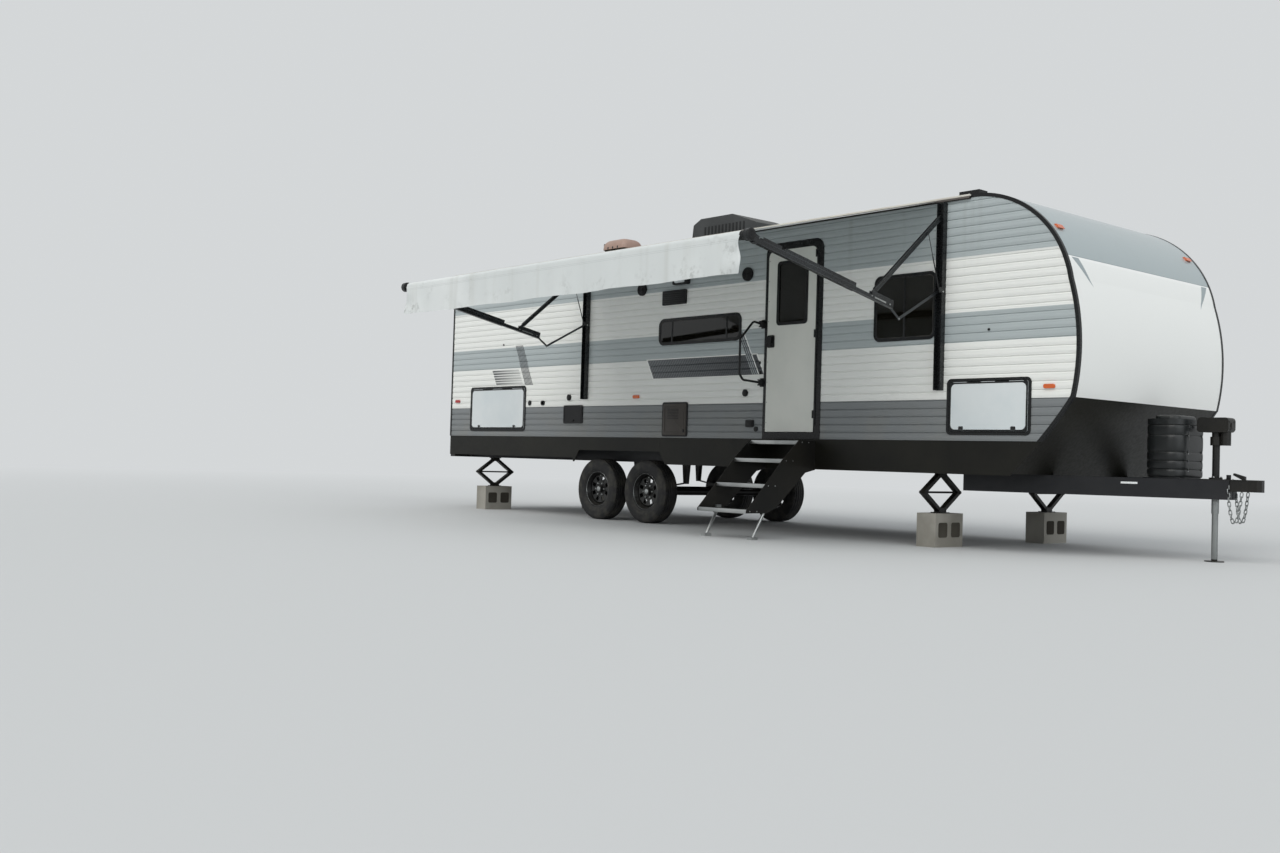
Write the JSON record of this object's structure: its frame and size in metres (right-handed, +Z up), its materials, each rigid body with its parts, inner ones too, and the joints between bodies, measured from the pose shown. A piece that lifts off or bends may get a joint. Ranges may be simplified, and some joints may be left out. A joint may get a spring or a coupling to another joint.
{
  "type": "travel caravan",
  "caption": "Two-axle travel caravan with a curved nose, ribbed sides, side awning, entry steps, luggage doors, A-frame coupler and tongue jack.",
  "frame": {"origin": "centre of the coupler's ball socket", "axes": "+X forward along the caravan, +Y to the road side, +Z up; the door and awning are at -Y"},
  "size_m": [9.988, 4.8779, 3.43],
  "materials": {
    "white_siding": "ribbed aluminium siding in white with pale blue-grey and dark grey bands",
    "white_cap": "smooth white gel-coated front cap with a pale grey band",
    "wall_panel": "framed and lined side wall",
    "roof_membrane": "off-white roof membrane",
    "floor_panel": "floor panel, dark underneath",
    "black_skirt": "glossy black skirt metal",
    "black_trim": "black aluminium extrusion",
    "tinted_glass": "dark tinted safety glass",
    "white_door": "smooth white door skin",
    "pale_panel": "smooth pale luggage door",
    "black_plastic": "textured black plastic",
    "chassis_paint": "blue-black chassis paint",
    "zinc": "zinc-plated tube",
    "black_steel": "black painted steel",
    "tyre_rubber": "tyre rubber",
    "rim_paint": "dark grey painted steel wheel",
    "concrete": "cast concrete block",
    "step_metal": "black step with a bright nosing",
    "awning_fabric": "white and grey vinyl awning cloth",
    "awning_metal": "black anodised awning arm",
    "roof_plastic": "dark shroud plastic",
    "vent_plastic": "reddish brown vent plastic",
    "lens_amber": "amber lamp lens",
    "lens_red": "red lamp lens"
  },
  "bodies": {
    "root": {"air_conditioner": "roof_plastic", "awning_canopy": "awning_fabric", "awning_wall_rails": "awning_metal", "axles": "black_steel", "bumper": "black_steel", "chassis_rails": "chassis_paint", "coupler": "black_steel", "cross_members": "chassis_paint", "door_frames": "black_trim", "edge_trims": "black_trim", "floor": "floor_panel", "front_cap": "white_cap", "gas_cover": "black_plastic", "hitch_plates": "chassis_paint", "lamps_amber": "lens_amber", "lamps_red": "lens_red", "leaf_springs": "black_steel", "nose_underside": "black_skirt", "rear_wall": "white_siding", "roof": "roof_membrane", "roof_vents": "vent_plastic", "side_wall_kerb": "wall_panel", "side_wall_road": "wall_panel", "siding": "white_siding", "skirts": "black_skirt", "stand_blocks": "concrete", "stands": "black_steel", "step_legs": "zinc", "step_sides": "black_steel", "step_treads": "step_metal", "tongue_beams": "chassis_paint", "tongue_jack": "zinc", "wall_fittings": "black_plastic", "window_frames": "black_trim", "window_panes": "tinted_glass"},
    "wheel_rear_kerb": {"tyre_rear_kerb": "tyre_rubber", "rim_rear_kerb": "rim_paint"},
    "wheel_rear_road": {"tyre_rear_road": "tyre_rubber", "rim_rear_road": "rim_paint"},
    "wheel_front_kerb": {"tyre_front_kerb": "tyre_rubber", "rim_front_kerb": "rim_paint"},
    "wheel_front_road": {"tyre_front_road": "tyre_rubber", "rim_front_road": "rim_paint"},
    "entry_door": {"entry_door": "white_door", "entry_door_trim": "black_plastic", "entry_door_pane": "tinted_glass"},
    "grab_handle": {"grab_handle": "black_steel"},
    "luggage_door_kerb_front": {"luggage_door_kerb_front": "pale_panel"},
    "luggage_door_kerb_rear": {"luggage_door_kerb_rear": "pale_panel"},
    "luggage_door_road_front": {"luggage_door_road_front": "pale_panel"},
    "awning_upper_arms": {"awning_upper_arms": "awning_metal"},
    "awning_inner_arms": {"awning_inner_arms": "awning_metal"},
    "awning_lower_links": {"awning_lower_links": "awning_metal"},
    "awning_upper_links": {"awning_upper_links": "awning_metal"},
    "awning_strut_cylinders": {"awning_strut_cylinders": "awning_metal"},
    "awning_strut_rods": {"awning_strut_rods": "zinc"},
    "awning_outer_arms": {"awning_outer_arms": "awning_metal", "awning_roller": "awning_fabric", "awning_valance": "awning_fabric"}
  },
  "joints": [
    {"name": "spin_rear_kerb", "type": "hinge", "parent": "root", "child": "wheel_rear_kerb", "pos_m": [-6.854, -1.017, -0.256], "axis": [0, 1, 0], "continuous": true},
    {"name": "spin_rear_road", "type": "hinge", "parent": "root", "child": "wheel_rear_road", "pos_m": [-6.854, 1.017, -0.256], "axis": [0, 1, 0], "continuous": true},
    {"name": "spin_front_kerb", "type": "hinge", "parent": "root", "child": "wheel_front_kerb", "pos_m": [-6.033, -1.017, -0.256], "axis": [0, 1, 0], "continuous": true},
    {"name": "spin_front_road", "type": "hinge", "parent": "root", "child": "wheel_front_road", "pos_m": [-6.033, 1.017, -0.256], "axis": [0, 1, 0], "continuous": true},
    {"name": "entry_door_swing", "type": "hinge", "parent": "root", "child": "entry_door", "pos_m": [-3.521, -1.2315, 1.2725], "axis": [0, 0, 1], "range_deg": [0, 165]},
    {"name": "grab_handle_fold", "type": "hinge", "parent": "root", "child": "grab_handle", "pos_m": [-4.214, -1.254, 1.16], "axis": [0, 0, -1], "range_deg": [0, 90]},
    {"name": "luggage_door_kerb_front_lift", "type": "hinge", "parent": "root", "child": "luggage_door_kerb_front", "pos_m": [-1.641, -1.2315, 0.832], "axis": [-1, 0, 0], "range_deg": [0, 150]},
    {"name": "luggage_door_kerb_rear_lift", "type": "hinge", "parent": "root", "child": "luggage_door_kerb_rear", "pos_m": [-8.7, -1.2315, 0.921], "axis": [-1, 0, 0], "range_deg": [0, 150]},
    {"name": "luggage_door_road_front_lift", "type": "hinge", "parent": "root", "child": "luggage_door_road_front", "pos_m": [-1.641, 1.2315, 0.832], "axis": [1, 0, 0], "range_deg": [0, 150]},
    {"name": "awning_fold", "type": "hinge", "parent": "root", "child": "awning_upper_arms", "pos_m": [-4.54, -1.274, 2.233], "axis": [1, 0, 0], "range_deg": [0, 49.99], "deforming": ["awning_canopy", "awning_valance"]},
    {"name": "awning_elbow", "type": "hinge", "parent": "awning_upper_arms", "child": "awning_inner_arms", "pos_m": [-4.54, -2.158, 1.491], "axis": [-1, 0, 0], "range_deg": [0, 128.57]},
    {"name": "awning_arm_slide", "type": "slide", "parent": "awning_inner_arms", "child": "awning_outer_arms", "axis": [0, 0.98, -0.1992], "range_m": [0, 0.2001]},
    {"name": "awning_lower_link_turn", "type": "hinge", "parent": "root", "child": "awning_lower_links", "pos_m": [-4.54, -1.255, 1.595], "axis": [1, 0, 0], "range_deg": [0, 58.52]},
    {"name": "awning_upper_link_turn", "type": "hinge", "parent": "awning_lower_links", "child": "awning_upper_links", "pos_m": [-4.54, -1.778, 1.317], "axis": [1, 0, 0], "range_deg": [0, 62.36]},
    {"name": "awning_strut_turn", "type": "hinge", "parent": "root", "child": "awning_strut_cylinders", "pos_m": [-4.54, -1.303, 1.607], "axis": [-1, 0, 0], "range_deg": [0, 23.95]},
    {"name": "awning_strut_slide", "type": "slide", "parent": "awning_strut_cylinders", "child": "awning_strut_rods", "axis": [0, 0.3369, -0.9416], "range_m": [0, 0.11934]}
  ],
  "couplings": [
    {"joint": "awning_elbow", "follows": "awning_fold", "ratio": 2.5705},
    {"joint": "awning_arm_slide", "follows": "awning_fold", "m_per_rad": 0.22922},
    {"joint": "awning_lower_link_turn", "follows": "awning_fold", "ratio": 1.1699},
    {"joint": "awning_upper_link_turn", "follows": "awning_fold", "ratio": 1.2468},
    {"joint": "awning_strut_turn", "follows": "awning_fold", "ratio": 0.47889},
    {"joint": "awning_strut_slide", "follows": "awning_fold", "m_per_rad": 0.13671}
  ]
}
